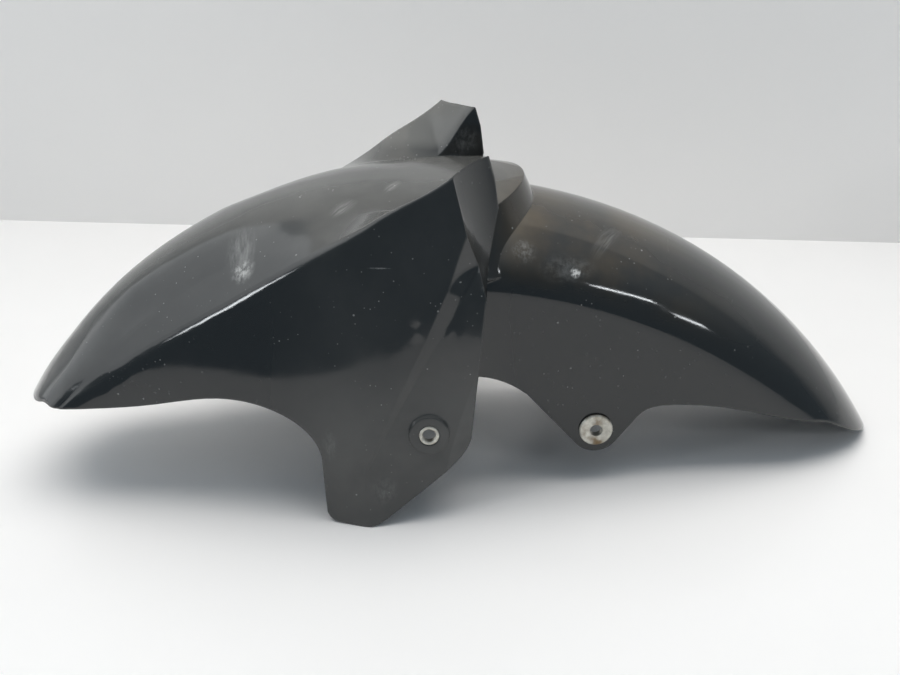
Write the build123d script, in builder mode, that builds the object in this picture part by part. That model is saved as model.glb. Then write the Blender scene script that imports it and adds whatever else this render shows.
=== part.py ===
from build123d import *
from math import cos, hypot, radians, sin, sqrt, tan
import os

os.makedirs("parts", exist_ok=True)

# Moulding: one wall thickness everywhere, millimetres, +X rearward, +Z up
wall = 2.8

# Front arch circle in the side view; the crest rises at the plateau and swells a little at the nose
front_cx = -28.8
front_cz = -102.6
front_r = 299.3
plateau_rise = 9.0
plateau_sweep = 16.0
nose_swell = 2.0
swell_start = 28.0
swell_span = 32.0

# Crown of the front arch: half width of its level top, at the nose and at the horn
crown_nose = 15.0
crown_horn = 42.0

# Valley between the crown and the shoulder band
valley_nose = 38.0
valley_horn = 59.0
valley_depth = 8.0
valley_fall = 6.0
valley_round = 5.0

# Shoulder ridge: a straight line from the nose up to the horn
ridge_x0 = -252.7
ridge_z0 = 62.3
ridge_y0 = 55.0
ridge_x1 = -4.7
ridge_z1 = 223.0
ridge_y1 = 98.5
nose_drop = 18.0
ridge_round = 4.0
ridge_soft = 6.0
ridge_top = 75.0
ridge_lift = 130.0

# Flank under the ridge: a belly and a foot, each at three places along the ridge
belly_y = (64.0, 88.0, -53.0)
belly_drop = (60.0, 16.0)
foot_y = (70.0, 109.0, -66.0)
foot_r = 95.0

# Horn: its inner edge runs straight from the foot on the crown to the tip
horn_foot = (-9.6, 59.0, 190.0)
horn_tip = (20.0, 63.0, 226.0)
horn_past = 1.5
horn_round = 1.5
horn_step = 6.0

# Rear end of the panels and horns in the side view, bottom to top
panel_low = (9.0, 75.0)
panel_high = (16.0, 156.0)
horn_back = (24.5, 192.0)
horn_top = (20.0, 228.0)

# Plateau behind the horns: a step above the rear arch, ended by a cone
plateau_step = 13.0
plateau_start = 30.0
end_cx = -14.0
end_r = 67.0
end_z = 182.0
end_lean = 25.0
end_low = 150.0
end_under = 25.0

# Rear arch circle in the side view, with its crown and side walls
rear_cx = -15.3
rear_cz = -175.0
rear_r = 363.7
rear_half = 73.0
rear_crown = 48.0
rear_full = 0.6
rear_wall_depth = 210.0
rear_start = 2.0
rear_inner_start = 8.0
rear_sweep = 80.0

# Fork clearance behind each horn: a leaning cylinder
fork_r = 75.0
fork_top = (68.3, -120.4, 225.0)
fork_low = (84.0, -124.0, 160.0)

# Flat area of the side panel that carries the front bolt
flat_y = 106.0
flat_z = 46.0
flat_lean = 0.09
crease_top = (13.0, 172.0)
crease_low = (-76.0, 2.0)
crease_taper = 65.0

# Front bolt boss
front_bolt = (-19.5, 59.5)
boss_r = 13.0
boss_h = 2.0
boss_taper = 20.0

# Rear bolt tab
rear_bolt = (90.5, 43.0)
tab_r = 16.5

# Collars: M8 clearance bore in each
bore_r = 4.2
sleeve_r = 6.2
collar_gap = 0.1
collar_proud = 0.4
flange_r = 11.0
flange_t = 2.6
rim_round = 0.7

# Lower edge in the side view, nose to tail, with the roundings at its corners
nose_out = (-340.0, 4.5)
nose_side = (-273.5, 54.0)
front_low = (-195.0, 64.5)
front_bay = (-133.0, 73.5)
panel_front = (-87.0, 38.0)
panel_foot = (-85.0, -5.0)
panel_toe = (-54.0, -5.0)
panel_heel_z = 47.0
edge_gap = 0.5
notch_z = 83.0
notch_end = (45.0, 69.0)
tab_end = (121.0, 56.0)
rear_rise = (146.0, 59.5)
rear_side = (247.0, 40.5)
tail_out = (300.0, 10.0)
nose_round = 20.0
foot_round = 8.0
toe_round = 26.0
heel_round = 28.0
notch_round = 4.0
tab_round = 18.0
tail_round = 40.0

# Tip back that sets the tail on the floor
rest_tilt = 2.68

# Fan angles of the front arch's sections, nose to rear, and cuts that only have to reach past the part
fan_angles = (70.0, 58.0, 46.0, 34.0, 22.0, 12.0, 5.0, 0.0, -3.75, -6.0, -8.5, -12.0, -18.0)
reach = 400.0


def along(a, b, t):
    return (a[0] + (b[0] - a[0]) * t, a[1] + (b[1] - a[1]) * t)


def toward(a, b, d):
    # the point a length d from a on the way to b, at most a third of the way
    return along(a, b, min(d / hypot(b[0] - a[0], b[1] - a[1]), 1.0 / 3.0))


def ridge_at(phi):
    # ridge radius, its lateral place and its share of the way to the horn
    a = radians(phi)
    m = (ridge_z1 - ridge_z0) / (ridge_x1 - ridge_x0)
    r = (ridge_z1 - front_cz + m * (front_cx - ridge_x1)) / (cos(a) + m * sin(a))
    p = max((front_cx - r * sin(a) - ridge_x0) / (ridge_x1 - ridge_x0), 0.0)
    if p == 0.0:
        r = min(r, front_r - nose_drop)
    r = min(r + ridge_lift * max(p - 1.0, 0.0), front_r + ridge_top)
    return r, ridge_y0 + (ridge_y1 - ridge_y0) * p, p


def crest_at(phi):
    # the crest swells a little at the nose and rises into the plateau between the horns
    s = min(max(-phi / plateau_sweep, 0.0), 1.0)
    n = max((phi - swell_start) / swell_span, 0.0)
    return front_r + plateau_rise * s * s * (3.0 - 2.0 * s) + nose_swell * n * n


def horn_share(phi):
    # how far up the horn's inner edge this fan angle cuts it: 0 at its foot, 1 at its tip
    a = radians(phi)
    ends = [(q[0] - front_cx) * cos(a) + (q[2] - front_cz) * sin(a) for q in (horn_foot, horn_tip)]
    return min(ends[0] / (ends[0] - ends[1]), horn_past)


def horn_edge(t):
    # lateral place and radius on the horn's inner edge
    x, y, z = (horn_foot[i] + (horn_tip[i] - horn_foot[i]) * t for i in range(3))
    return y, hypot(x - front_cx, z - front_cz)


def half_section(phi):
    # control polygon from the crest over the valley, horn edge and ridge to the flank foot
    rc = crest_at(phi)
    rr, yr, p = ridge_at(phi)
    t = horn_share(phi)
    ya = crown_nose + (crown_horn - crown_nose) * p
    yv = valley_nose + (valley_horn - valley_nose) * p
    straight = (rc - rr) * (yv - ya) / (yr - ya)
    rv = rc - max(straight, valley_depth + valley_fall * max(t, 0.0))
    yp, rp = horn_edge(t)
    if t <= 0.0:
        yp = yv + horn_step * (1.25 - p)
        rp = rv + (rr - rv) * (yp - yv) / (yr - yv)
    yb = belly_y[0] + belly_y[1] * p + belly_y[2] * p * p
    rb = rr - belly_drop[0] - belly_drop[1] * p
    ye = foot_y[0] + foot_y[1] * p + foot_y[2] * p * p
    return [(0.0, rc), (ya, rc), (yv, rv), (yp, rp), (yr, rr), (yb, rb), (ye, foot_r)]


def inset_polygon(points, d):
    # move a control polygon inward by d, mitred at each corner
    moved = []
    for i in range(len(points)):
        before = points[max(i - 1, 0)]
        here = points[i]
        after = points[min(i + 1, len(points) - 1)]
        normals = []
        for a, b in ((before, here), (here, after)):
            size = hypot(b[0] - a[0], b[1] - a[1])
            if size > 0.0:
                normals.append(((b[1] - a[1]) / size, -(b[0] - a[0]) / size))
        n1 = normals[0]
        n2 = normals[-1]
        k = d / (1.0 + n1[0] * n2[0] + n1[1] * n2[1])
        moved.append((here[0] + k * (n1[0] + n2[0]), here[1] + k * (n1[1] + n2[1])))
    return moved


def fan_plane(phi):
    a = radians(phi)
    return Plane(origin=(front_cx, 0, front_cz), x_dir=(0, 1, 0), z_dir=(cos(a), 0, sin(a)))


def rear_body(inset, start):
    # closed solid of the rear arch, turned about its own centre
    w = rear_half - inset
    h = rear_crown - inset
    top = rear_r - inset
    spring = rear_r - rear_crown
    foot = spring - rear_wall_depth
    a = radians(start)
    with BuildPart() as body:
        with BuildSketch(Plane(origin=(rear_cx, 0, rear_cz), x_dir=(0, 1, 0), z_dir=(cos(a), 0, sin(a)))):
            with BuildLine():
                Bezier((0, top), (rear_full * w, top), (w, spring + rear_full * h), (w, spring))
                Bezier((0, top), (-rear_full * w, top), (-w, spring + rear_full * h), (-w, spring))
                Polyline((-w, spring), (-w, foot), (w, foot), (w, spring))
            make_face()
        revolve(axis=Axis((rear_cx, 0, rear_cz), (0, 1, 0)), revolution_arc=start + rear_sweep)
    return body.part


def plateau_keep(inset):
    # the space of the plateau: a step above the rear arch, ended by a cone about an upright axis
    low = end_cx + end_r - inset + (end_z - end_low) * tan(radians(end_lean))
    high = end_cx + end_r - inset + (end_z - horn_top[1]) * tan(radians(end_lean))
    with BuildPart() as keep:
        with BuildSketch(Plane.XZ):
            with BuildLine():
                Polyline(
                    (end_cx, end_low - end_under),
                    (low - end_under, end_low - end_under),
                    (low, end_low),
                    (high, horn_top[1]),
                    (end_cx, horn_top[1]),
                    close=True,
                )
            make_face()
        revolve(axis=Axis((end_cx, 0, 0), (0, 0, 1)))
        add(rear_body(inset - plateau_step, plateau_start), mode=Mode.INTERSECT)
    return keep.part


def fork_cut(inset):
    # leaning cylinder that clears the fork leg behind the horn
    low = Vector(*fork_low)
    axis = (Vector(*fork_top) - low).normalized()
    with BuildPart() as cut:
        with BuildSketch(Plane(origin=low - axis * fork_r, z_dir=axis)):
            Circle(fork_r + inset)
        extrude(amount=6 * fork_r)
    return cut.part


def panel_x(z):
    # rear edge of the side panel in the side view
    return along(panel_low, panel_high, (z - panel_low[1]) / (panel_high[1] - panel_low[1]))[0]


def end_keep(inset):
    # the space the front body may fill, cut off at its rear end and cleared for the fork
    with BuildPart() as keep:
        with BuildSketch(Plane.XZ):
            with BuildLine():
                Polyline(
                    (-reach, -reach),
                    (panel_x(-reach) - inset, -reach),
                    (panel_high[0] - inset, panel_high[1]),
                    (horn_back[0] - inset, horn_back[1]),
                    (horn_top[0] - inset, horn_top[1]),
                    (horn_top[0] - inset, reach),
                    (-reach, reach),
                    close=True,
                )
            make_face()
        extrude(amount=reach, both=True)
        fork = fork_cut(inset)
        add(fork, mode=Mode.SUBTRACT)
        mirror(fork, about=Plane.XZ, mode=Mode.SUBTRACT)
        add(plateau_keep(inset))
    return keep.part


def flat_cut(inset):
    # wedge outside the flat area, with a gentle slope up to the flank along the crease
    normal = Vector(0, -1, flat_lean).normalized()
    top = Vector(crease_top[0], flat_lean * (crease_top[1] - flat_z) - flat_y, crease_top[1])
    low = Vector(crease_low[0], flat_lean * (crease_low[1] - flat_z) - flat_y, crease_low[1])
    run = (top - low).normalized()
    side = run.cross(normal)
    slope = tan(radians(crease_taper))
    grow = inset * (1.0 - sin(radians(crease_taper))) / cos(radians(crease_taper))
    with BuildPart() as cut:
        with BuildSketch(Plane(origin=low, x_dir=side, z_dir=-run)):
            with BuildLine():
                Polyline(
                    (-grow, -inset),
                    (flat_y, -inset),
                    (flat_y, flat_z),
                    (-grow - (flat_z + inset) * slope, flat_z),
                    close=True,
                )
            make_face()
        extrude(amount=reach, both=True)
    return cut.part


def front_body(inset):
    # closed solid of the front arch, horns and panels, moved in by inset
    with BuildPart() as body:
        for phi in fan_angles:
            q = inset_polygon(half_section(phi), inset)
            soft = ridge_round + ridge_soft * max(1.0 - ridge_at(phi)[2], 0.0) ** 3
            j1 = along(q[1], q[2], 0.5)
            j2 = toward(q[2], q[3], valley_round)
            j3 = toward(q[3], q[2], horn_round)
            j4 = toward(q[3], q[4], horn_round)
            j5 = toward(q[4], q[3], soft)
            j6 = toward(q[4], q[5], soft)
            curves = [(q[0], q[1], j1), (j1, q[2], j2), (j3, q[3], j4), (j5, q[4], j6), (j6, q[5], q[6])]
            lines = [(j2, j3), (j4, j5)]
            with BuildSketch(fan_plane(phi)):
                with BuildLine():
                    for side in (1, -1):
                        for points in curves:
                            Bezier(*[(side * y, r) for y, r in points])
                        for points in lines:
                            Line(*[(side * y, r) for y, r in points])
                    Line(q[6], (-q[6][0], q[6][1]))
                make_face()
        loft()
        add(end_keep(inset), mode=Mode.INTERSECT)
        cut = flat_cut(inset)
        add(cut, mode=Mode.SUBTRACT)
        mirror(cut, about=Plane.XZ, mode=Mode.SUBTRACT)
    return body.part


def tangent_point(start, centre, radius, side):
    # where a line from start touches a circle
    dx = centre[0] - start[0]
    dz = centre[1] - start[1]
    dist = sqrt(dx * dx + dz * dz)
    run = sqrt(dist * dist - radius * radius)
    c = run / dist
    s = side * radius / dist
    return (
        start[0] + run / dist * (dx * c - dz * s),
        start[1] + run / dist * (dx * s + dz * c),
    )


tab_left = tangent_point(notch_end, rear_bolt, tab_r, -1)
tab_right = tangent_point(tab_end, rear_bolt, tab_r, 1)
heel = (panel_x(panel_heel_z) + edge_gap, panel_heel_z)
notch = (panel_x(notch_z) + edge_gap, notch_z)

flat_normal = Vector(0, -1, flat_lean).normalized()
boss_seat = Vector(front_bolt[0], -flat_y + flat_lean * (front_bolt[1] - flat_z), front_bolt[1])
boss_plane = Plane(origin=boss_seat, x_dir=(1, 0, 0), z_dir=flat_normal)
tab_plane = Plane(origin=(rear_bolt[0], -rear_half, rear_bolt[1]), x_dir=(1, 0, 0), z_dir=(0, -1, 0))
corners = (
    (nose_side, nose_round),
    (panel_foot, foot_round),
    (panel_toe, toe_round),
    (heel, heel_round),
    (notch, notch_round),
    (notch_end, tab_round),
    (tab_end, tab_round),
    (rear_side, tail_round),
)

with BuildPart() as mudguard_shell:
    add(front_body(0.0))
    add(rear_body(0.0, rear_start))
    add(front_body(wall), mode=Mode.SUBTRACT)
    add(rear_body(wall, rear_inner_start), mode=Mode.SUBTRACT)
    # lower edge, cut straight across in the side view
    with BuildSketch(Plane.XZ) as outline:
        with BuildLine():
            Polyline((-reach, reach), nose_out, nose_side)
            Spline(nose_side, front_low, front_bay, panel_front, tangents=((1, 0.1), (0.03, -1)))
            Polyline(panel_front, panel_foot, panel_toe, heel, notch)
            Spline(notch, notch_end, tangents=((1, -0.05), (1, -0.8)))
            Line(notch_end, tab_left)
            ThreePointArc(tab_left, (rear_bolt[0], rear_bolt[1] - tab_r), tab_right)
            Line(tab_right, tab_end)
            Spline(tab_end, rear_rise, rear_side, tangents=((1, 0.5), (1, -0.2)))
            Polyline(rear_side, tail_out, (reach, -tail_out[0] / 6), (reach, reach), (-reach, reach))
        make_face()
        for point, radius in corners:
            fillet(outline.vertices().sort_by_distance(point)[0], radius=radius)
    extrude(amount=reach, both=True, mode=Mode.INTERSECT)
    # bolt seats: a raised boss on each panel, a plain hole in each tab
    with BuildSketch(boss_plane):
        Circle(boss_r)
    boss = extrude(amount=boss_h, taper=boss_taper)
    mirror(boss, about=Plane.XZ)
    with BuildSketch(boss_plane.offset(boss_h), tab_plane):
        Circle(sleeve_r + collar_gap)
    holes = extrude(amount=-3 * wall, mode=Mode.SUBTRACT)
    mirror(holes, about=Plane.XZ, mode=Mode.SUBTRACT)

# Front collars: plain steel rings, just proud of the boss
with BuildPart() as front_collar_left:
    with BuildSketch(boss_plane.offset(boss_h + collar_proud)):
        Circle(sleeve_r)
        Circle(bore_r, mode=Mode.SUBTRACT)
    extrude(amount=-(wall + boss_h + collar_proud))
    chamfer(front_collar_left.edges().filter_by(GeomType.CIRCLE), length=rim_round / 2)

# Rear collars: steel sleeves with a round-edged flange on the outside of the tab
with BuildPart() as rear_collar_left:
    with BuildSketch(tab_plane):
        Circle(flange_r)
    extrude(amount=flange_t)
    chamfer(rear_collar_left.edges(), length=rim_round)
    with BuildSketch(tab_plane):
        Circle(sleeve_r)
    extrude(amount=-wall)
    with BuildSketch(tab_plane.offset(flange_t)):
        Circle(bore_r)
    extrude(amount=-(wall + flange_t), mode=Mode.SUBTRACT)

# The part rests on its panel feet and its tail; the origin is under the middle of its box
rest = Rotation(0, rest_tilt, 0)
box = mudguard_shell.part.moved(rest).bounding_box()
home = Location((-(box.min.X + box.max.X) / 2, 0, -box.min.Z)) * rest

nodes = {
    "mudguard_shell": mudguard_shell.part.moved(home),
    "front_collar_left": front_collar_left.part.moved(home),
    "front_collar_right": mirror(front_collar_left.part, about=Plane.XZ).moved(home),
    "rear_collar_left": rear_collar_left.part.moved(home),
    "rear_collar_right": mirror(rear_collar_left.part, about=Plane.XZ).moved(home),
}
for name, part in nodes.items():
    part.label = name
    export_step(part, "parts/" + name + ".step")
    print(name, part.is_valid, len(part.solids()), round(part.volume), part.bounding_box())
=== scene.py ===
import bpy
from math import cos, radians, sin
import bmesh
import numpy as np
from mathutils import Matrix, Vector


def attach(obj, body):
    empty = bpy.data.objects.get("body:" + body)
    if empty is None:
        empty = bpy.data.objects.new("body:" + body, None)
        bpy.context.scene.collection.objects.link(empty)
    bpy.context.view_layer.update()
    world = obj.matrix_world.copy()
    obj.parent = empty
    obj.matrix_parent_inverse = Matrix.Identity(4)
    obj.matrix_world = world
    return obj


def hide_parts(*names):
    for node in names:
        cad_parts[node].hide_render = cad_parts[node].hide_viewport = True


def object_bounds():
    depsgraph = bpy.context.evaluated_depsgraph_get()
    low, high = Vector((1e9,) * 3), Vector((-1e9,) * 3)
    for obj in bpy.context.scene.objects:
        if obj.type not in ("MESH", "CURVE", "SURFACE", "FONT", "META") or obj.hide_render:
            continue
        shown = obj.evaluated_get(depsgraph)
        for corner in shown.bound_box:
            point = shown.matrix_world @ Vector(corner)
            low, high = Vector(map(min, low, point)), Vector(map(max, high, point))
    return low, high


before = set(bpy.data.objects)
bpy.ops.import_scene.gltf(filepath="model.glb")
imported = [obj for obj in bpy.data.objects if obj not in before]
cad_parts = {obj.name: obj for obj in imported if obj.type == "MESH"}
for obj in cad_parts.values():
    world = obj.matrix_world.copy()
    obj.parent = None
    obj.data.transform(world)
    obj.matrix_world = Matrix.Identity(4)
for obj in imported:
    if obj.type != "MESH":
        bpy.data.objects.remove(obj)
cad_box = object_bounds()
scene = bpy.context.scene
scene.view_settings.view_transform = "Standard"

# All lengths are in metres. A pair of limits means: nothing at the first, all at the second, soft between.
# Two more numbers behind a pair are the values at its limits. Clouds are a noise's scale, detail and roughness.

# Camera: place, heading, height angle and roll in degrees, focal length in pixels
CAM_AT = (-0.0134, -0.6993, 0.4035)
CAM_AZIMUTH = -1.16
CAM_ELEVATION = 24.88
CAM_ROLL = -2.95
CAM_FOCAL_PX = 1100.0
CAM_CLIP = 0.01
IMAGE_WIDTH_PX = 900.0
SENSOR_MM = 36.0

# Stage: the floor's near edge is farther back on the left; the wall stands on a line through two floor points
FLOOR_HALF = 3.0
FLOOR_NEAR = -0.6
FLOOR_NEAR_LEFT = -0.4
FLOOR_BEND = (-0.36, -0.28)
FLOOR_DARK = (0.885, 0.868, 0.852)
FLOOR_PALE = (0.95, 0.935, 0.92)
FLOOR_CLOUDS = (3.0, 4.0)
FLOOR_ROUGH = 0.3
WALL_LEFT = (-0.521, 0.583)
WALL_RIGHT = (0.468, 0.333)
WALL_HEIGHT = 1.1
WALL_DARK = (0.89, 0.867, 0.845)
WALL_PALE = (0.94, 0.917, 0.893)
WALL_CLOUDS = (2.0, 4.0)
WALL_ROUGH = 0.6

# Nose of the shell's skin: corners made fuller by NOSE_FILL, middle of the lip moved back and up by NOSE_LIP
NOSE_FILL = 0.009
NOSE_CORNER_IN = (0.008, 0.036)
NOSE_CORNER_OUT = (0.058, 0.04)
NOSE_REACH = (-0.205, -0.262)
NOSE_LIP = (0.0055, 0.0095)
NOSE_TIP = (-0.24, -0.27)
NOSE_MIDDLE = (0.046, 0.018)
NOSE_BELOW = (0.105, 0.055)

# Horn tops: raised by HORN_LEVEL halfway between their inner and outer corners
HORN_LEVEL = 0.0042
HORN_INNER = 0.063
HORN_OUTER = 0.097
HORN_ALONG = (-0.02, 0.012)
HORN_ABOVE = (0.185, 0.21)

# Upper bolt area: raised by a share of its depth below the flank's plane, which is a point and its slopes
FLAT_RAISE = 0.6
FLAT_DEEPEST = 0.01
FLAT_ABOVE = (0.085, 0.125)
FLAT_BELOW = (0.172, 0.152)
FLAT_OUT = (0.08, 0.09)
FLAT_ALONG = (-0.05, -0.03)
FLANK_AT = (-0.038, 0.1, 0.113)
FLANK_LEAN = (0.184, -0.102)

# Evening out: the valley between the crown and the ridge's line, and the nose above its lip
RIDGE_START = (-0.2534, 0.055)
RIDGE_SLOPE = 0.1754
VALLEY_FRONT = (-0.15, -0.12)
VALLEY_BACK = (-0.012, -0.03)
VALLEY_ABOVE = (0.14, 0.15)
VALLEY_FROM_RIDGE = (0.01, 0.022)
VALLEY_FROM_CREST = (0.006, 0.02)
NOSE_EVEN_ALONG = (-0.2, -0.235)
NOSE_EVEN_ABOVE = (0.074, 0.092)
NOSE_EVEN_FROM_CREST = (0.008, 0.022)
EVEN_STEPS = 60
EVEN_PACE = 0.5

# Fineness of the skin: the longest edges after each pass, the least move that counts, and small distances
EDGE_LIMITS = (0.02, 0.01, 0.006)
LEAST_MOVE = 1e-5
WELD = 1e-6
PROBE = 0.0002
PROBES = ((PROBE, 0, 0), (0, PROBE, 0), (0, 0, PROBE))

# Plastic: its colours, and the clouds that break up its tint and its dust. The warm tint is painted warm light,
# the dust colour also paints a sheen, and the worn colour also paints a glint.
BLACK = (0.015, 0.0165, 0.0168, 1)
PAINTED_WARM_LIGHT = (0.066, 0.045, 0.02, 1)
DUST_AND_SHEEN = (0.42, 0.41, 0.38, 1)
SPECK = (0.5, 0.5, 0.48, 1)
WORN_AND_GLINT = (0.6, 0.6, 0.58, 1)
PLASTIC_CLOUDS = (18.0, 4.0)
PLASTIC_IOR = 1.58

# Warm tint of the rear arch, a painted warm light: along the part from both ends, by facing up and by clouds
TINT_FRONT = (0.02, 0.05)
TINT_BACK = (0.2, 0.08)
TINT_FACING = (0.1, 0.7)
TINT_PATCHES = (0.25, 0.75)

# Dust and painted light: a dust film on what faces up, a dust haze on the side panels that thickens low down
# into a painted reflection of the floor, and dust with a painted light on the slope of the far horn
FILM_FACING = (0.3, 1.0)
FILM_PATCHES = (0.2, 0.8, 0.45, 1.0)
FILM_ALONG = (0.03, 0.06, 0.2, 0.07)
HAZE_FRONT = (-0.13, -0.05)
HAZE_BACK = (0.05, 0.005)
HAZE_PATCHES = (0.3, 0.7, 0.015, 0.04)
PAINTED_SHEEN_LOW = (0.12, 0.05, 1.0, 3.0)
HORN_DUST_SHEEN_ABOVE = (0.188, 0.204)
HORN_DUST_SHEEN_OUT = (0.055, 0.07)
HORN_DUST_SHEEN_FACING = (0.2, 0.55, 0.0, 0.3)

# Specks: cells per metre, radius in a cell, share of the cells; the fine ones lie in patches
FINE_SPECKS = (330.0, 0.2, 0.25)
COARSE_SPECKS = (120.0, 0.11, 0.12)
SPECK_CORE = 0.4
SPECK_CLOUDS = (26.0, 3.0)
SPECK_PATCHES = (0.42, 0.66)
SPECK_STRENGTH = 0.35

# Gloss: its clouds, and the roughness that the dust and painted sheen, the scuffs and painted glint, and the
# specks add
GLOSS_CLOUDS = (45.0, 5.0, 0.65)
GLOSS_ROUGH = (0.3, 0.75, 0.045, 0.11)
FILM_ROUGH = 0.5
WORN_ROUGH = 0.35
SPECK_ROUGH = 0.3

# Relief: clouds and heights of the plastic's ripple and orange peel, and the height of its scuffs and painted
# glint
RIPPLE_CLOUDS = (16.0, 2.0)
RIPPLE_HEIGHT = 0.0004
PEEL_CLOUDS = (420.0, 2.0)
PEEL_HEIGHT = 0.000012
WORN_HEIGHT = 0.00006

# Relief of both materials: edge radius, bevel samples, bump strength and bump distance
PLASTIC_RELIEF = (0.002, 6, 0.35, 1.0)
ZINC_RELIEF = (0.0006, 4, 0.4, 0.00015)

# Collars: dull and pale zinc in blotches, brown stains, and a fine grain
ZINC_DULL = (0.42, 0.4, 0.35, 1)
ZINC_PALE = (0.72, 0.7, 0.63, 1)
ZINC_STAIN = (0.2, 0.14, 0.08, 1)
BLOTCH_CLOUDS = (160.0, 5.0, 0.65)
BLOTCH_PATCHES = (0.3, 0.7)
STAIN_CLOUDS = (75.0, 4.0)
STAIN_PATCHES = (0.5, 0.72)
GRAIN_CLOUDS = (900.0, 3.0)
ZINC_ROUGH = (0.2, 0.8, 0.3, 0.55)
ZINC_METALLIC = 0.75

# Scuffs and the painted glint: how they fade to their edges and how streaks break them up, all alike
PATCH_FADE = (1.0, 0.15)
PATCH_CLOUDS = (2.2, 6.0, 0.7)
PATCH_BREAKS = (0.34, 0.74)

# Scuffs and a painted glint on the shell: place, turn about X and Z in degrees, half sizes, strength, streaks
# along and across
SCUFFS_AND_GLINT = (
    ((-0.1275, -0.05, 0.169), (36, 0), (0.013, 0.026, 0.014), 0.3, (2.2, 0.8)),
    ((-0.126, -0.0605, 0.161), (36, 0), (0.011, 0.011, 0.011), 0.9, (1.4, 1.0)),
    ((-0.062, -0.046, 0.1925), (20, -43), (0.008, 0.013, 0.01), 0.3, (4.0, 0.5)),
    ((-0.031, -0.025, 0.198), (5, -29), (0.005, 0.012, 0.008), 0.3, (3.0, 0.4)),
    ((-0.0405, -0.094, 0.1703), (0, -8), (0.0085, 0.006, 0.0007), 0.5, (2.0, 1.0)),
    # The next three, on the rear arch's shoulder: wear with a painted reflection over it, the small strong one
    # a painted glint
    ((0.0742, -0.065, 0.1518), (-60, 0), (0.024, 0.012, 0.012), 0.13, (2.0, 1.6)),
    ((0.079, -0.0657, 0.1485), (0, 0), (0.0045, 0.0045, 0.0045), 2.5, (1.0, 1.0)),
    ((0.048, -0.0615, 0.1635), (0, 0), (0.01, 0.01, 0.01), 0.25, (1.6, 1.6)),
    ((0.102, -0.042, 0.1565), (20, -35), (0.007, 0.024, 0.014), 0.2, (3.0, 0.4)),
    ((0.019, 0.061, 0.203), (0, 0), (0.014, 0.006, 0.014), 0.14, (1.5, 1.0)),
    ((-0.0798, -0.0999, 0.0563), (0, 0), (0.006, 0.01, 0.014), 0.1, (1.4, 1.0)),
    ((-0.0474, -0.1082, 0.0261), (0, 0), (0.011, 0.01, 0.013), 0.1, (1.4, 1.0)),
)

# Lamps: name, place, aim, width and height, power in watts, colour, seen in gloss, lights matt surfaces
WARM = (1.0, 0.97, 0.93)
COOL = (0.93, 0.97, 1.0)
DAY = (0.98, 0.99, 1.0)
LAMPS = (
    ("overhead", (0.0, 0.05, 1.7), (0.0, 0.05, 0.0), (2.2, 1.2), 26, WARM, False, True),
    ("panel_back", (-1.6, 0.5, 0.9), (0.0, 0.0, 0.15), (2.4, 1.6), 12, DAY, True, False),
    ("panel_left", (-1.5, -0.78, 0.75), (0.0, -0.05, 0.15), (0.22, 0.24), 2.7, COOL, True, True),
    ("tube_right", (1.0, -1.3, 0.84), (0.1, -0.05, 0.1), (0.42, 0.05), 1.5, COOL, True, True),
    ("tube_low", (1.32, -1.18, 0.66), (0.1, -0.05, 0.1), (0.26, 0.05), 0.8, COOL, True, True),
)

# The room around the stage: darker low down, lighter overhead
ROOM_LOW = (0.13, 0.175, 0.215, 1)
ROOM_HIGH = (0.42, 0.475, 0.53, 1)
ROOM_RISE = (0.3, 0.95)


def put(tree, value, socket):
    """Link a socket, or set a plain value."""
    if isinstance(value, bpy.types.NodeSocket):
        tree.links.new(value, socket)
    else:
        socket.default_value = value


def new_material(name):
    material = bpy.data.materials.new(name)
    material.use_nodes = True
    tree = material.node_tree
    tree.nodes.clear()
    out = tree.nodes.new("ShaderNodeOutputMaterial")
    shader = tree.nodes.new("ShaderNodeBsdfPrincipled")
    tree.links.new(shader.outputs[0], out.inputs[0])
    return material, tree, shader


def maths(tree, operation, a, b):
    made = tree.nodes.new("ShaderNodeMath")
    made.operation = operation
    put(tree, a, made.inputs[0])
    put(tree, b, made.inputs[1])
    return made.outputs[0]


def times(tree, *factors):
    """The product of values and sockets, the first of them a socket."""
    product = factors[0]
    for factor in factors[1:]:
        product = maths(tree, "MULTIPLY", product, factor)
    return product


def plus(tree, total, value, weight):
    return maths(tree, "ADD", total, times(tree, value, weight))


def spread(tree, value, low, high, to_low=0.0, to_high=1.0):
    """Map a value from one range to another, clamped, with soft ends."""
    made = tree.nodes.new("ShaderNodeMapRange")
    made.interpolation_type = "SMOOTHSTEP"
    for i, v in enumerate((value, low, high, to_low, to_high)):
        put(tree, v, made.inputs[i])
    return made.outputs[0]


def blend(tree, factor, a, b):
    """Mix two colours."""
    made = tree.nodes.new("ShaderNodeMix")
    made.data_type = "RGBA"
    put(tree, factor, made.inputs[0])
    put(tree, a, made.inputs[6])
    put(tree, b, made.inputs[7])
    return made.outputs[2]


def place(tree, vector, at=(0, 0, 0), turn=(0, 0, 0), size=(1, 1, 1)):
    """Coordinates seen from a placed, turned and scaled frame."""
    made = tree.nodes.new("ShaderNodeMapping")
    made.vector_type = "TEXTURE"
    put(tree, vector, made.inputs["Vector"])
    made.inputs["Location"].default_value = at
    made.inputs["Rotation"].default_value = [radians(v) for v in turn]
    made.inputs["Scale"].default_value = size
    return made.outputs[0]


def noise(tree, vector, scale, detail=3.0, rough=0.55):
    made = tree.nodes.new("ShaderNodeTexNoise")
    put(tree, vector, made.inputs["Vector"])
    made.inputs["Scale"].default_value = scale
    made.inputs["Detail"].default_value = detail
    made.inputs["Roughness"].default_value = rough
    return made.outputs["Fac"]


def length(tree, vector):
    made = tree.nodes.new("ShaderNodeVectorMath")
    made.operation = "LENGTH"
    put(tree, vector, made.inputs[0])
    return made.outputs["Value"]


def split(tree, vector):
    made = tree.nodes.new("ShaderNodeSeparateXYZ")
    put(tree, vector, made.inputs[0])
    return made.outputs


def on_object(tree):
    return tree.nodes.new("ShaderNodeTexCoord").outputs["Object"]


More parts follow.
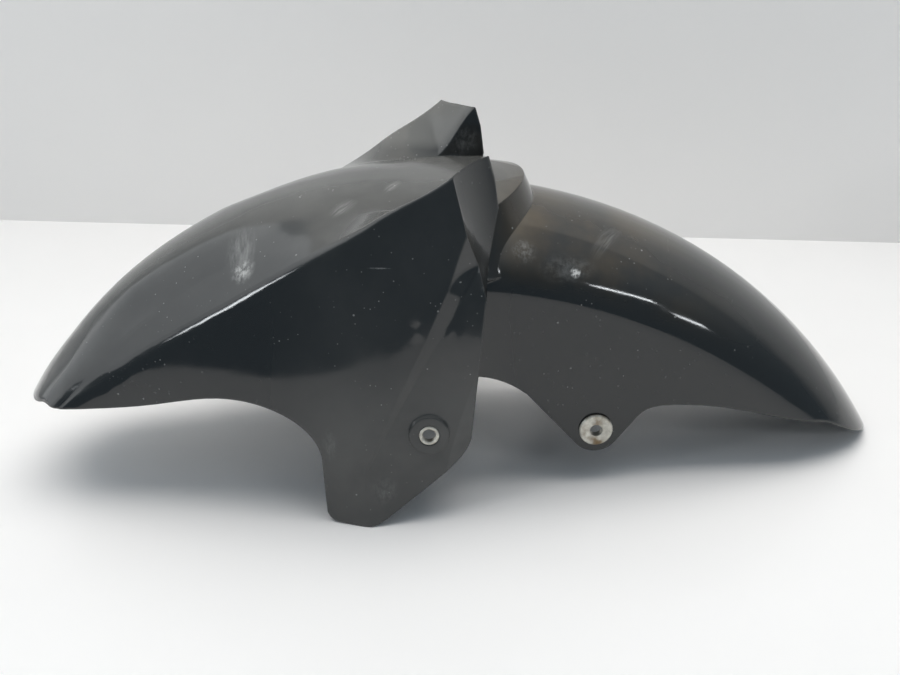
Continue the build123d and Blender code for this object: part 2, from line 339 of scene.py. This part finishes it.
def specks(tree, vector, scale, radius, share):
    """Small round dust specks, in a share of the cells."""
    cells = tree.nodes.new("ShaderNodeTexVoronoi")
    put(tree, vector, cells.inputs["Vector"])
    cells.inputs["Scale"].default_value = scale
    grain = spread(tree, cells.outputs["Distance"], radius, radius * SPECK_CORE)
    chosen = maths(tree, "LESS_THAN", split(tree, cells.outputs["Color"])[0], share)
    return times(tree, grain, chosen)


def pale_patch(tree, coords, at, turn, size, strength, streaks):
    """A pale patch for a scuff or for the painted glint, fading to its edge and broken up by streaks."""
    local = place(tree, coords, at, (turn[0], 0, turn[1]), size)
    body = spread(tree, length(tree, local), *PATCH_FADE)
    stretched = place(tree, local, size=(1 / streaks[0], 1 / streaks[1], 1.0))
    broken = spread(tree, noise(tree, stretched, *PATCH_CLOUDS), *PATCH_BREAKS)
    return times(tree, body, broken, strength)


def relief(tree, shader, height, radius, samples, strength, distance):
    """Rounded edges and a bumpy surface, in the shader's normal."""
    edge = tree.nodes.new("ShaderNodeBevel")
    edge.samples = samples
    edge.inputs["Radius"].default_value = radius
    bump = tree.nodes.new("ShaderNodeBump")
    bump.inputs["Strength"].default_value = strength
    bump.inputs["Distance"].default_value = distance
    put(tree, height, bump.inputs["Height"])
    put(tree, edge.outputs[0], bump.inputs["Normal"])
    put(tree, bump.outputs[0], shader.inputs["Normal"])


def gloss_black():
    material, tree, shader = new_material("gloss_black_plastic")
    coords = on_object(tree)
    facing = split(tree, tree.nodes.new("ShaderNodeNewGeometry").outputs["Normal"])
    where = split(tree, coords)

    # painted warm light: a warm tint over the rear arch, strongest at the step
    cloud = noise(tree, coords, *PLASTIC_CLOUDS)
    painted_warmth = times(tree, spread(tree, where[0], *TINT_FRONT), spread(tree, where[0], *TINT_BACK),
                 spread(tree, facing[2], *TINT_FACING), spread(tree, cloud, *TINT_PATCHES))
    colour = blend(tree, painted_warmth, BLACK, PAINTED_WARM_LIGHT)

    # dust film on what faces up, thinner on the rear arch
    dust_and_painted_sheen = times(tree, spread(tree, facing[2], *FILM_FACING), spread(tree, cloud, *FILM_PATCHES),
                 spread(tree, where[0], *FILM_ALONG))
    # thin dust haze on the side panels, thicker low down as a painted reflection of the floor
    haze_and_floor_sheen = times(tree, spread(tree, where[0], *HAZE_FRONT), spread(tree, cloud, *HAZE_PATCHES),
                 spread(tree, where[2], *PAINTED_SHEEN_LOW), spread(tree, where[0], *HAZE_BACK))
    # dust and a painted light on the far horn's slope
    horn_dust_and_sheen = times(tree, spread(tree, where[2], *HORN_DUST_SHEEN_ABOVE), spread(tree, where[1], *HORN_DUST_SHEEN_OUT),
                 spread(tree, facing[2], *HORN_DUST_SHEEN_FACING))
    # the dust and the painted sheen together, in one pale colour
    dust_and_painted_sheen = maths(tree, "MAXIMUM", maths(tree, "MAXIMUM", dust_and_painted_sheen, haze_and_floor_sheen), horn_dust_and_sheen)
    colour = blend(tree, dust_and_painted_sheen, colour, DUST_AND_SHEEN)

    # fine specks in patches, coarse ones everywhere
    patchy = spread(tree, noise(tree, coords, *SPECK_CLOUDS), *SPECK_PATCHES)
    fine = times(tree, specks(tree, coords, *FINE_SPECKS), patchy)
    coarse = specks(tree, coords, *COARSE_SPECKS)
    dots = maths(tree, "MAXIMUM", fine, coarse)
    colour = blend(tree, times(tree, dots, SPECK_STRENGTH), colour, SPECK)

    # scuffs and a painted glint: pale, rough patches
    wear_and_glint = None
    for mark in SCUFFS_AND_GLINT:
        patch = pale_patch(tree, coords, *mark)
        wear_and_glint = patch if wear_and_glint is None else maths(tree, "MAXIMUM", wear_and_glint, patch)
    colour = blend(tree, wear_and_glint, colour, WORN_AND_GLINT)

    # gloss, duller under the dust and painted sheen, the scuffs and painted glint, and the specks
    rough = spread(tree, noise(tree, coords, *GLOSS_CLOUDS), *GLOSS_ROUGH)
    for layer, weight in ((dust_and_painted_sheen, FILM_ROUGH), (wear_and_glint, WORN_ROUGH), (dots, SPECK_ROUGH)):
        rough = plus(tree, rough, layer, weight)

    # moulding ripple, orange peel, and raised scuffs and painted glint
    height = times(tree, noise(tree, coords, *RIPPLE_CLOUDS), RIPPLE_HEIGHT)
    height = plus(tree, height, noise(tree, coords, *PEEL_CLOUDS), PEEL_HEIGHT)
    height = plus(tree, height, wear_and_glint, WORN_HEIGHT)
    relief(tree, shader, height, *PLASTIC_RELIEF)

    put(tree, colour, shader.inputs["Base Color"])
    put(tree, rough, shader.inputs["Roughness"])
    shader.inputs["IOR"].default_value = PLASTIC_IOR
    return material


def zinc():
    material, tree, shader = new_material("zinc_plate")
    coords = on_object(tree)
    blotch = spread(tree, noise(tree, coords, *BLOTCH_CLOUDS), *BLOTCH_PATCHES)
    stain = spread(tree, noise(tree, coords, *STAIN_CLOUDS), *STAIN_PATCHES)
    grain = noise(tree, coords, *GRAIN_CLOUDS)
    colour = blend(tree, blotch, ZINC_DULL, ZINC_PALE)
    colour = blend(tree, stain, colour, ZINC_STAIN)
    relief(tree, shader, grain, *ZINC_RELIEF)
    put(tree, colour, shader.inputs["Base Color"])
    put(tree, spread(tree, grain, *ZINC_ROUGH), shader.inputs["Roughness"])
    shader.inputs["Metallic"].default_value = ZINC_METALLIC
    return material


def matt(name, dark, pale, clouds, roughness):
    """A plain studio surface with a faint unevenness, clear from behind so that it hides nothing."""
    material, tree, shader = new_material(name)
    sides = tree.nodes.new("ShaderNodeMixShader")
    put(tree, tree.nodes.new("ShaderNodeNewGeometry").outputs["Backfacing"], sides.inputs[0])
    put(tree, shader.outputs[0], sides.inputs[1])
    put(tree, tree.nodes.new("ShaderNodeBsdfTransparent").outputs[0], sides.inputs[2])
    put(tree, sides.outputs[0], tree.nodes["Material Output"].inputs[0])
    uneven = noise(tree, on_object(tree), *clouds)
    put(tree, blend(tree, uneven, (*dark, 1), (*pale, 1)), shader.inputs["Base Color"])
    shader.inputs["Roughness"].default_value = roughness
    return material


def dress(name, material):
    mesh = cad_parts[name].data
    mesh.materials.clear()
    mesh.materials.append(material)


def smooth(value, low, high):
    s = min(max((value - low) / (high - low), 0.0), 1.0)
    return s * s * (3.0 - 2.0 * s)


def reshape(co):
    """Where a point of the CAD surface goes in the skin."""
    x, y, z = co
    off = abs(y)
    side = 1.0 if y > 0 else -1.0
    # fuller nose corners, and the middle of the nose lip back and up
    corner = smooth(off, *NOSE_CORNER_IN) * smooth(off, *NOSE_CORNER_OUT)
    wider = NOSE_FILL * corner * smooth(x, *NOSE_REACH)
    lip = smooth(x, *NOSE_TIP) * smooth(off, *NOSE_MIDDLE) * smooth(z, *NOSE_BELOW)
    # level horn tops
    u = min(max((off - HORN_INNER) / (HORN_OUTER - HORN_INNER), 0.0), 1.0)
    higher = HORN_LEVEL * 4.0 * u * (1.0 - u) * smooth(x, *HORN_ALONG) * smooth(z, *HORN_ABOVE)
    # the upper bolt area raised towards the flank beside it
    flank = FLANK_AT[1] + FLANK_LEAN[0] * (x - FLANK_AT[0]) + FLANK_LEAN[1] * (z - FLANK_AT[2])
    depth = min(max(flank - off, 0.0), FLAT_DEEPEST)
    inside = smooth(z, *FLAT_ABOVE) * smooth(z, *FLAT_BELOW) * smooth(off, *FLAT_OUT) * smooth(x, *FLAT_ALONG)
    raised = FLAT_RAISE * depth * inside
    return Vector((x + NOSE_LIP[0] * lip, y + side * (wider + raised), z + higher + NOSE_LIP[1] * lip))


def even_share(co):
    """How far a point takes part in the evening out of the nose and of the valley between crown and ridge."""
    x, y, z = co
    off = abs(y)
    ridge = RIDGE_START[1] + RIDGE_SLOPE * (x - RIDGE_START[0])
    valley = smooth(x, *VALLEY_FRONT) * smooth(x, *VALLEY_BACK) * smooth(z, *VALLEY_ABOVE)
    valley *= smooth(ridge - off, *VALLEY_FROM_RIDGE) * smooth(off, *VALLEY_FROM_CREST)
    nose = smooth(x, *NOSE_EVEN_ALONG) * smooth(z, *NOSE_EVEN_ABOVE) * smooth(off, *NOSE_EVEN_FROM_CREST)
    return max(valley, nose)


def even_out(mesh):
    """Draw the vertices of the nose and the valley to their neighbours' mean, and return their shares in it."""
    share = np.array([even_share(v.co) for v in mesh.vertices])
    at = np.array([v.co for v in mesh.vertices])
    ends = np.array([e.vertices[:] for e in mesh.edges])
    count = np.zeros(len(at))
    np.add.at(count, ends.ravel(), 1.0)
    for _ in range(EVEN_STEPS):
        total = np.zeros_like(at)
        np.add.at(total, ends[:, 0], at[ends[:, 1]])
        np.add.at(total, ends[:, 1], at[ends[:, 0]])
        at += (EVEN_PACE * share)[:, None] * (total / count[:, None] - at)
    mesh.vertices.foreach_set("co", at.ravel())
    mesh.update()
    return share


def turned(co, normal):
    """The surface normal after the reshaping, from its slopes at this point."""
    here = reshape(co)
    slopes = [(reshape(co + Vector(step)) - here) / PROBE for step in PROBES]
    turn = Matrix(slopes).transposed()
    return (turn.inverted().transposed() @ normal).normalized()


def moves(edge):
    """Whether the skin departs from the CAD surface at an edge's ends or middle."""
    a, b = (v.co for v in edge.verts)
    return any(even_share(q) > 0.0 or (reshape(q) - q).length > LEAST_MOVE for q in (a, b, (a + b) / 2))


def refine(mesh):
    """Weld the mesh, and split its long edges where the skin departs from the CAD surface."""
    work = bmesh.new()
    work.from_mesh(mesh)
    bmesh.ops.remove_doubles(work, verts=work.verts, dist=WELD)
    for limit in EDGE_LIMITS:
        long = [e for e in work.edges if e.calc_length() > limit and moves(e)]
        bmesh.ops.subdivide_edges(work, edges=long, cuts=1)
        bmesh.ops.triangulate(work, faces=[f for f in work.faces if len(f.verts) > 3])
    work.to_mesh(mesh)
    work.free()


def shell_skin():
    """The shell's finer mesh: a copy of the CAD surface, reshaped and evened out, with normals to match."""
    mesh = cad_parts["mudguard_shell"].data.copy()
    kept = mesh.attributes.new("surface_normal", "FLOAT_VECTOR", "CORNER")
    for corner, normal in zip(kept.data, mesh.corner_normals):
        corner.vector = normal.vector
    refine(mesh)
    layer = mesh.attributes["surface_normal"].data
    normals = []
    for loop in mesh.loops:
        co = mesh.vertices[loop.vertex_index].co.copy()
        normals.append(turned(co, Vector(layer[loop.index].vector)))
    for vertex in mesh.vertices:
        vertex.co = reshape(vertex.co)
        vertex.co.z = min(vertex.co.z, cad_box[1][2])
    share = even_out(mesh)
    for loop in mesh.loops:
        part = share[loop.vertex_index]
        if part > 0.0:
            even = mesh.vertex_normals[loop.vertex_index].vector
            normals[loop.index] = normals[loop.index].lerp(even, part).normalized()
    mesh.attributes.remove(mesh.attributes["surface_normal"])
    mesh.normals_split_custom_set(normals)
    mesh.materials.clear()
    mesh.materials.append(gloss_black())
    made = bpy.data.objects.new("shell_skin", mesh)
    scene.collection.objects.link(made)
    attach(made, "root")
    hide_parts("mudguard_shell")


def sheet(name, corners, material):
    """A flat piece of the stage."""
    mesh = bpy.data.meshes.new(name)
    mesh.from_pydata(corners, [], [range(len(corners))])
    mesh.materials.append(material)
    made = bpy.data.objects.new(name, mesh)
    scene.collection.objects.link(made)


def area_light(name, at, aim, size, power, colour, mirrored, lighting):
    data = bpy.data.lights.new(name, "AREA")
    data.shape = "RECTANGLE"
    data.size, data.size_y = size
    data.energy = power
    data.color = colour
    made = bpy.data.objects.new(name, data)
    made.location = at
    made.rotation_euler = (Vector(aim) - Vector(at)).to_track_quat("-Z", "Y").to_euler()
    made.visible_glossy = mirrored
    made.visible_diffuse = lighting
    scene.collection.objects.link(made)


# The part: the shell's skin, and the collars as they are
shell_skin()
steel = zinc()
for side in ("left", "right"):
    dress("front_collar_" + side, steel)
    dress("rear_collar_" + side, steel)

# Floor and back wall; the wall stands where the photograph's wall meets the floor
h = FLOOR_HALF
bend = ((FLOOR_BEND[0], FLOOR_NEAR_LEFT, 0), (FLOOR_BEND[1], FLOOR_NEAR, 0))
sheet("floor", [(-h, FLOOR_NEAR_LEFT, 0), *bend, (h, FLOOR_NEAR, 0), (h, h, 0), (-h, h, 0)],
      matt("floor", FLOOR_DARK, FLOOR_PALE, FLOOR_CLOUDS, FLOOR_ROUGH))
left = Vector((*WALL_LEFT, 0))
right = Vector((*WALL_RIGHT, 0))
run = (right - left).normalized() * FLOOR_HALF
rise = Vector((0, 0, WALL_HEIGHT))
sheet("wall", [left - run, right + run, right + run + rise, left - run + rise],
      matt("wall", WALL_DARK, WALL_PALE, WALL_CLOUDS, WALL_ROUGH))

# Soft light from above for the stage; a large panel that only the gloss mirrors; small lamps for the highlights
for lamp in LAMPS:
    area_light(*lamp)
world = bpy.data.worlds.new("studio")
scene.world = world
world.use_nodes = True
sky = world.node_tree
upward = split(sky, sky.nodes.new("ShaderNodeTexCoord").outputs["Generated"])[2]
room = blend(sky, spread(sky, upward, *ROOM_RISE), ROOM_LOW, ROOM_HIGH)
put(sky, room, sky.nodes["Background"].inputs["Color"])

# Camera turned by its heading, height angle and roll
azimuth, elevation, roll = (radians(v) for v in (CAM_AZIMUTH, CAM_ELEVATION, CAM_ROLL))
back = Vector((sin(azimuth) * cos(elevation), -cos(azimuth) * cos(elevation), sin(elevation)))
level = Vector((cos(azimuth), sin(azimuth), 0))
upright = back.cross(level)
across = level * cos(roll) + upright * sin(roll)
up = upright * cos(roll) - level * sin(roll)
lens = bpy.data.cameras.new("camera")
lens.sensor_width = SENSOR_MM
lens.lens = CAM_FOCAL_PX / IMAGE_WIDTH_PX * SENSOR_MM
lens.clip_start = CAM_CLIP
camera = bpy.data.objects.new("camera", lens)
camera.matrix_world = Matrix.Translation(CAM_AT) @ Matrix((across, up, back)).transposed().to_4x4()
scene.collection.objects.link(camera)
scene.camera = camera
